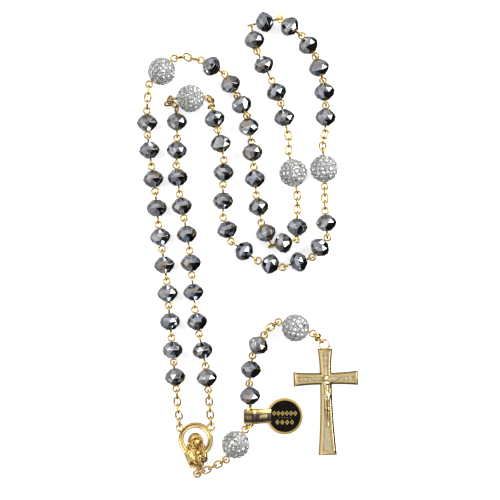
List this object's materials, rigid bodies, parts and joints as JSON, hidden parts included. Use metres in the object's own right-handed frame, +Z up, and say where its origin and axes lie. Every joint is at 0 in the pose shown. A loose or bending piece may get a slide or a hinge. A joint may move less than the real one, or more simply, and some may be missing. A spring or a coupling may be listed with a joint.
{
  "type": "rosary",
  "caption": "Rosary laid flat: faceted mirror-crystal beads and rhinestone balls on looped gold wire pins, with curb chain, a pierced halo centrepiece, a round hang tag and a crucifix.",
  "frame": {"origin": "centre of the laid-out rosary's footprint, on the surface it lies on", "axes": "+Y along the layout's length, away from the centrepiece and towards the far end of the loop; +X across it towards the crucifix's side; +Z up, away from the surface"},
  "size_m": [0.0859, 0.1815, 0.0112],
  "materials": {
    "gold": "polished gold plate",
    "pale_gold": "satin pale gold plate",
    "crystal": "mirror-coated grey faceted crystal",
    "rhinestone": "clear foiled rhinestones in a pale clay core",
    "tag_card": "black card with gold foil lines"
  },
  "bodies": {
    "centrepiece": {"centrepiece": "gold"},
    "pendant_chain_1": {"pendant_chain_1": "gold"},
    "ball_pin_5": {"ball_pin_5": "gold"},
    "ball_5": {"ball_5": "rhinestone"},
    "pendant_chain_2": {"pendant_chain_2": "gold"},
    "tag": {"tag": "tag_card"},
    "single_pin_1": {"single_pin_1": "gold"},
    "single_bead_1": {"single_bead_1": "crystal"},
    "single_pin_2": {"single_pin_2": "gold"},
    "single_bead_2": {"single_bead_2": "crystal"},
    "single_pin_3": {"single_pin_3": "gold"},
    "single_bead_3": {"single_bead_3": "crystal"},
    "pendant_chain_3": {"pendant_chain_3": "gold"},
    "ball_pin_6": {"ball_pin_6": "gold"},
    "ball_6": {"ball_6": "rhinestone"},
    "pendant_chain_4": {"pendant_chain_4": "gold"},
    "crucifix": {"crucifix": "pale_gold", "corpus": "pale_gold"},
    "medal_chain_left": {"medal_chain_left": "gold"},
    "decade_1_a": {"decade_1_beads_a": "crystal", "decade_1_pins_a": "gold"},
    "decade_1_b": {"decade_1_beads_b": "crystal", "decade_1_pins_b": "gold"},
    "chain_in_1": {"chain_in_1": "gold"},
    "ball_pin_1": {"ball_pin_1": "gold"},
    "ball_1": {"ball_1": "rhinestone"},
    "chain_out_1": {"chain_out_1": "gold"},
    "decade_2_a": {"decade_2_beads_a": "crystal", "decade_2_pins_a": "gold"},
    "decade_2_b": {"decade_2_beads_b": "crystal", "decade_2_pins_b": "gold"},
    "decade_2_c": {"decade_2_beads_c": "crystal", "decade_2_pins_c": "gold"},
    "chain_in_2": {"chain_in_2": "gold"},
    "ball_pin_2": {"ball_pin_2": "gold"},
    "ball_2": {"ball_2": "rhinestone"},
    "chain_out_2": {"chain_out_2": "gold"},
    "decade_3_a": {"decade_3_beads_a": "crystal", "decade_3_pins_a": "gold"},
    "medal_chain_right": {"medal_chain_right": "gold"},
    "decade_5_b": {"decade_5_beads_b": "crystal", "decade_5_pins_b": "gold"},
    "decade_5_a": {"decade_5_beads_a": "crystal", "decade_5_pins_a": "gold"},
    "chain_out_4": {"chain_out_4": "gold"},
    "ball_pin_4": {"ball_pin_4": "gold"},
    "ball_4": {"ball_4": "rhinestone"},
    "chain_in_4": {"chain_in_4": "gold"},
    "decade_4_c": {"decade_4_beads_c": "crystal", "decade_4_pins_c": "gold"},
    "decade_4_b": {"decade_4_beads_b": "crystal", "decade_4_pins_b": "gold"},
    "decade_4_a": {"decade_4_beads_a": "crystal", "decade_4_pins_a": "gold"},
    "chain_out_3": {"chain_out_3": "gold"},
    "ball_pin_3": {"ball_pin_3": "gold"},
    "ball_3": {"ball_3": "rhinestone"},
    "chain_in_3": {"chain_in_3": "gold"},
    "decade_3_b": {"decade_3_beads_b": "crystal", "decade_3_pins_b": "gold"}
  },
  "joints": [
    {"name": "bend_pendant_chain_1", "type": "hinge", "parent": "centrepiece", "child": "pendant_chain_1", "pos_m": [-0.01928, -0.08858, 0.0015], "axis": [0.359, -0.9333, 0], "range_deg": [-30, 30]},
    {"name": "bend_ball_pin_5", "type": "hinge", "parent": "pendant_chain_1", "child": "ball_pin_5", "pos_m": [-0.0096, -0.0833, 0.00571], "axis": [-0.5454, 0.8382, 0], "range_deg": [-30, 30]},
    {"name": "spin_ball_5", "type": "hinge", "parent": "ball_pin_5", "child": "ball_5", "pos_m": [-0.00494, -0.07695, 0.00532], "axis": [0.5436, 0.8346, -0.0894], "continuous": true},
    {"name": "bend_pendant_chain_2", "type": "hinge", "parent": "ball_pin_5", "child": "pendant_chain_2", "pos_m": [-0.00036, -0.07034, 0.00459], "axis": [0.717, -0.697, 0], "range_deg": [-30, 30]},
    {"name": "swing_tag", "type": "hinge", "parent": "pendant_chain_2", "child": "tag", "pos_m": [0.0013, -0.0663, 0.0031], "axis": [0, -1, 0], "range_deg": [0, 25]},
    {"name": "bend_single_pin_1", "type": "hinge", "parent": "pendant_chain_2", "child": "single_pin_1", "pos_m": [0.00092, -0.06308, 0.00333], "axis": [-0.992, -0.1263, 0], "range_deg": [-30, 30]},
    {"name": "spin_single_bead_1", "type": "hinge", "parent": "single_pin_1", "child": "single_bead_1", "pos_m": [0.00061, -0.05814, 0.00446], "axis": [-0.0612, 0.9727, 0.224], "continuous": true},
    {"name": "bend_single_pin_2", "type": "hinge", "parent": "single_pin_1", "child": "single_pin_2", "pos_m": [0.00037, -0.05244, 0.00577], "axis": [0.9909, -0.1349, 0], "range_deg": [-30, 30]},
    {"name": "spin_single_bead_2", "type": "hinge", "parent": "single_pin_2", "child": "single_bead_2", "pos_m": [0.00093, -0.04787, 0.00454], "axis": [0.1186, 0.9584, -0.2594], "continuous": true},
    {"name": "bend_single_pin_3", "type": "hinge", "parent": "single_pin_2", "child": "single_pin_3", "pos_m": [0.0015, -0.0433, 0.0033], "axis": [-0.9924, 0.1228, 0], "range_deg": [-30, 30]},
    {"name": "spin_single_bead_3", "type": "hinge", "parent": "single_pin_3", "child": "single_bead_3", "pos_m": [0.00385, -0.03848, 0.00428], "axis": [0.4745, 0.8589, 0.1929], "continuous": true},
    {"name": "bend_pendant_chain_3", "type": "hinge", "parent": "single_pin_3", "child": "pendant_chain_3", "pos_m": [0.00691, -0.0333, 0.00547], "axis": [0.808, -0.5892, 0], "range_deg": [-30, 30]},
    {"name": "bend_ball_pin_6", "type": "hinge", "parent": "pendant_chain_3", "child": "ball_pin_6", "pos_m": [0.01068, -0.03002, 0.00429], "axis": [-0.5226, 0.8526, 0], "range_deg": [-30, 30]},
    {"name": "spin_ball_6", "type": "hinge", "parent": "ball_pin_6", "child": "ball_6", "pos_m": [0.01831, -0.03159, 0.00534], "axis": [0.9464, -0.313, 0.0792], "continuous": true},
    {"name": "bend_pendant_chain_4", "type": "hinge", "parent": "ball_pin_6", "child": "pendant_chain_4", "pos_m": [0.02616, -0.03467, 0.00601], "axis": [-0.5993, -0.8005, 0], "range_deg": [-30, 30]},
    {"name": "bend_crucifix", "type": "hinge", "parent": "pendant_chain_4", "child": "crucifix", "pos_m": [0.02821, -0.03673, 0.002], "axis": [0.6666, 0.7454, 0], "range_deg": [-30, 30]},
    {"name": "bend_medal_chain_left", "type": "hinge", "parent": "centrepiece", "child": "medal_chain_left", "pos_m": [-0.02691, -0.06923, 0.0015], "axis": [0.9978, 0.067, 0], "range_deg": [-30, 30]},
    {"name": "bend_decade_1_a", "type": "hinge", "parent": "medal_chain_left", "child": "decade_1_a", "pos_m": [-0.02795, -0.05721, 0.0034], "axis": [-0.9976, -0.069, 0], "range_deg": [-30, 30]},
    {"name": "bend_decade_1_b", "type": "hinge", "parent": "decade_1_a", "child": "decade_1_b", "pos_m": [-0.0334, -0.00255, 0.0041], "axis": [0.9895, 0.1443, 0], "range_deg": [-30, 30]},
    {"name": "bend_chain_in_1", "type": "hinge", "parent": "decade_1_b", "child": "chain_in_1", "pos_m": [-0.0394, 0.05453, 0.0044], "axis": [-0.9983, 0.0587, 0], "range_deg": [-30, 30]},
    {"name": "bend_ball_pin_1", "type": "hinge", "parent": "chain_in_1", "child": "ball_pin_1", "pos_m": [-0.03874, 0.06118, 0.0054], "axis": [0.9944, -0.1055, 0], "range_deg": [-30, 30]},
    {"name": "spin_ball_1", "type": "hinge", "parent": "ball_pin_1", "child": "ball_1", "pos_m": [-0.03367, 0.06798, 0.00539], "axis": [0.6966, 0.7175, 0.0015], "continuous": true},
    {"name": "bend_chain_out_1", "type": "hinge", "parent": "ball_pin_1", "child": "chain_out_1", "pos_m": [-0.02699, 0.07332, 0.0054], "axis": [-0.1758, 0.9844, 0], "range_deg": [-30, 30]},
    {"name": "bend_decade_2_a", "type": "hinge", "parent": "chain_out_1", "child": "decade_2_a", "pos_m": [-0.02033, 0.07272, 0.00461], "axis": [-0.1796, -0.9837, 0], "range_deg": [-30, 30]},
    {"name": "bend_decade_2_b", "type": "hinge", "parent": "decade_2_a", "child": "decade_2_b", "pos_m": [-0.00094, 0.05136, 0.00647], "axis": [0.9097, 0.4152, 0], "range_deg": [-30, 22]},
    {"name": "bend_decade_2_c", "type": "hinge", "parent": "decade_2_b", "child": "decade_2_c", "pos_m": [0.00473, 0.01075, 0.00594], "axis": [-0.9844, -0.1758, 0], "range_deg": [-30, 30]},
    {"name": "bend_chain_in_2", "type": "hinge", "parent": "decade_2_c", "child": "chain_in_2", "pos_m": [0.019, 0.0123, 0.005], "axis": [-0.9995, 0.032, 0], "range_deg": [-30, 30]},
    {"name": "bend_ball_pin_2", "type": "hinge", "parent": "chain_in_2", "child": "ball_pin_2", "pos_m": [0.01877, 0.02184, 0.00573], "axis": [0.9776, 0.2103, 0], "range_deg": [-30, 30]},
    {"name": "spin_ball_2", "type": "hinge", "parent": "ball_pin_2", "child": "ball_2", "pos_m": [0.01733, 0.02852, 0.00557], "axis": [-0.2097, 0.9775, -0.0243], "continuous": true},
    {"name": "bend_chain_out_2", "type": "hinge", "parent": "ball_pin_2", "child": "chain_out_2", "pos_m": [0.0159, 0.0352, 0.0054], "axis": [-0.9778, -0.2097, 0], "range_deg": [-30, 30]},
    {"name": "bend_decade_3_a", "type": "hinge", "parent": "chain_out_2", "child": "decade_3_a", "pos_m": [0.01498, 0.04535, 0.00436], "axis": [0.976, 0.2178, 0], "range_deg": [-30, 30]},
    {"name": "bend_medal_chain_right", "type": "hinge", "parent": "centrepiece", "child": "medal_chain_right", "pos_m": [-0.01469, -0.0688, 0.0017], "axis": [0.9967, 0.0815, 0], "range_deg": [-30, 30]},
    {"name": "bend_decade_5_b", "type": "hinge", "parent": "medal_chain_right", "child": "decade_5_b", "pos_m": [-0.01557, -0.05732, 0.00345], "axis": [-0.9966, -0.0828, 0], "range_deg": [-30, 30]},
    {"name": "bend_decade_5_a", "type": "hinge", "parent": "decade_5_b", "child": "decade_5_a", "pos_m": [-0.0232, 0.00011, 0.0041], "axis": [0.9853, 0.1708, 0], "range_deg": [-30, 30]},
    {"name": "bend_chain_out_4", "type": "hinge", "parent": "decade_5_a", "child": "chain_out_4", "pos_m": [-0.02804, 0.05373, 0.00261], "axis": [-0.9882, 0.1535, 0], "range_deg": [-15, 30]},
    {"name": "bend_ball_pin_4", "type": "hinge", "parent": "chain_out_4", "child": "ball_pin_4", "pos_m": [-0.0294, 0.0573, 0.0059], "axis": [0.0268, -0.9996, 0], "range_deg": [-9, 27]},
    {"name": "spin_ball_4", "type": "hinge", "parent": "ball_pin_4", "child": "ball_4", "pos_m": [-0.02256, 0.05748, 0.00532], "axis": [-0.9961, -0.0267, 0.0845], "continuous": true},
    {"name": "bend_chain_in_4", "type": "hinge", "parent": "ball_pin_4", "child": "chain_in_4", "pos_m": [-0.01476, 0.0573, 0.00449], "axis": [0.229, 0.9734, 0], "range_deg": [-30, 30]},
    {"name": "bend_decade_4_c", "type": "hinge", "parent": "chain_in_4", "child": "decade_4_c", "pos_m": [-0.0143, 0.0537, 0.0052], "axis": [-0.9647, -0.2634, 0], "range_deg": [-30, 30]},
    {"name": "bend_decade_4_b", "type": "hinge", "parent": "decade_4_c", "child": "decade_4_b", "pos_m": [-0.0099, 0.02245, 0.0041], "axis": [1, -0.0027, 0], "range_deg": [-30, 30]},
    {"name": "bend_decade_4_a", "type": "hinge", "parent": "decade_4_b", "child": "decade_4_a", "pos_m": [0.01503, -0.00754, 0.0041], "axis": [0.3118, -0.9502, 0], "range_deg": [-30, 30]},
    {"name": "bend_chain_out_3", "type": "hinge", "parent": "decade_4_a", "child": "chain_out_3", "pos_m": [0.02979, 0.0156, 0.005], "axis": [-0.9998, -0.0219, 0], "range_deg": [-30, 30]},
    {"name": "bend_ball_pin_3", "type": "hinge", "parent": "chain_out_3", "child": "ball_pin_3", "pos_m": [0.02965, 0.02183, 0.00529], "axis": [0.9995, 0.031, 0], "range_deg": [-30, 30]},
    {"name": "spin_ball_3", "type": "hinge", "parent": "ball_pin_3", "child": "ball_3", "pos_m": [0.02927, 0.03021, 0.0059], "axis": [0.0472, -0.9962, -0.0728], "continuous": true},
    {"name": "bend_chain_in_3", "type": "hinge", "parent": "ball_pin_3", "child": "chain_in_3", "pos_m": [0.02895, 0.03711, 0.00641], "axis": [-0.9985, -0.0545, 0], "range_deg": [-30, 30]},
    {"name": "bend_decade_3_b", "type": "hinge", "parent": "chain_in_3", "child": "decade_3_b", "pos_m": [0.03, 0.0458, 0.0026], "axis": [1, -0.0068, 0], "range_deg": [-30, 30]}
  ]
}
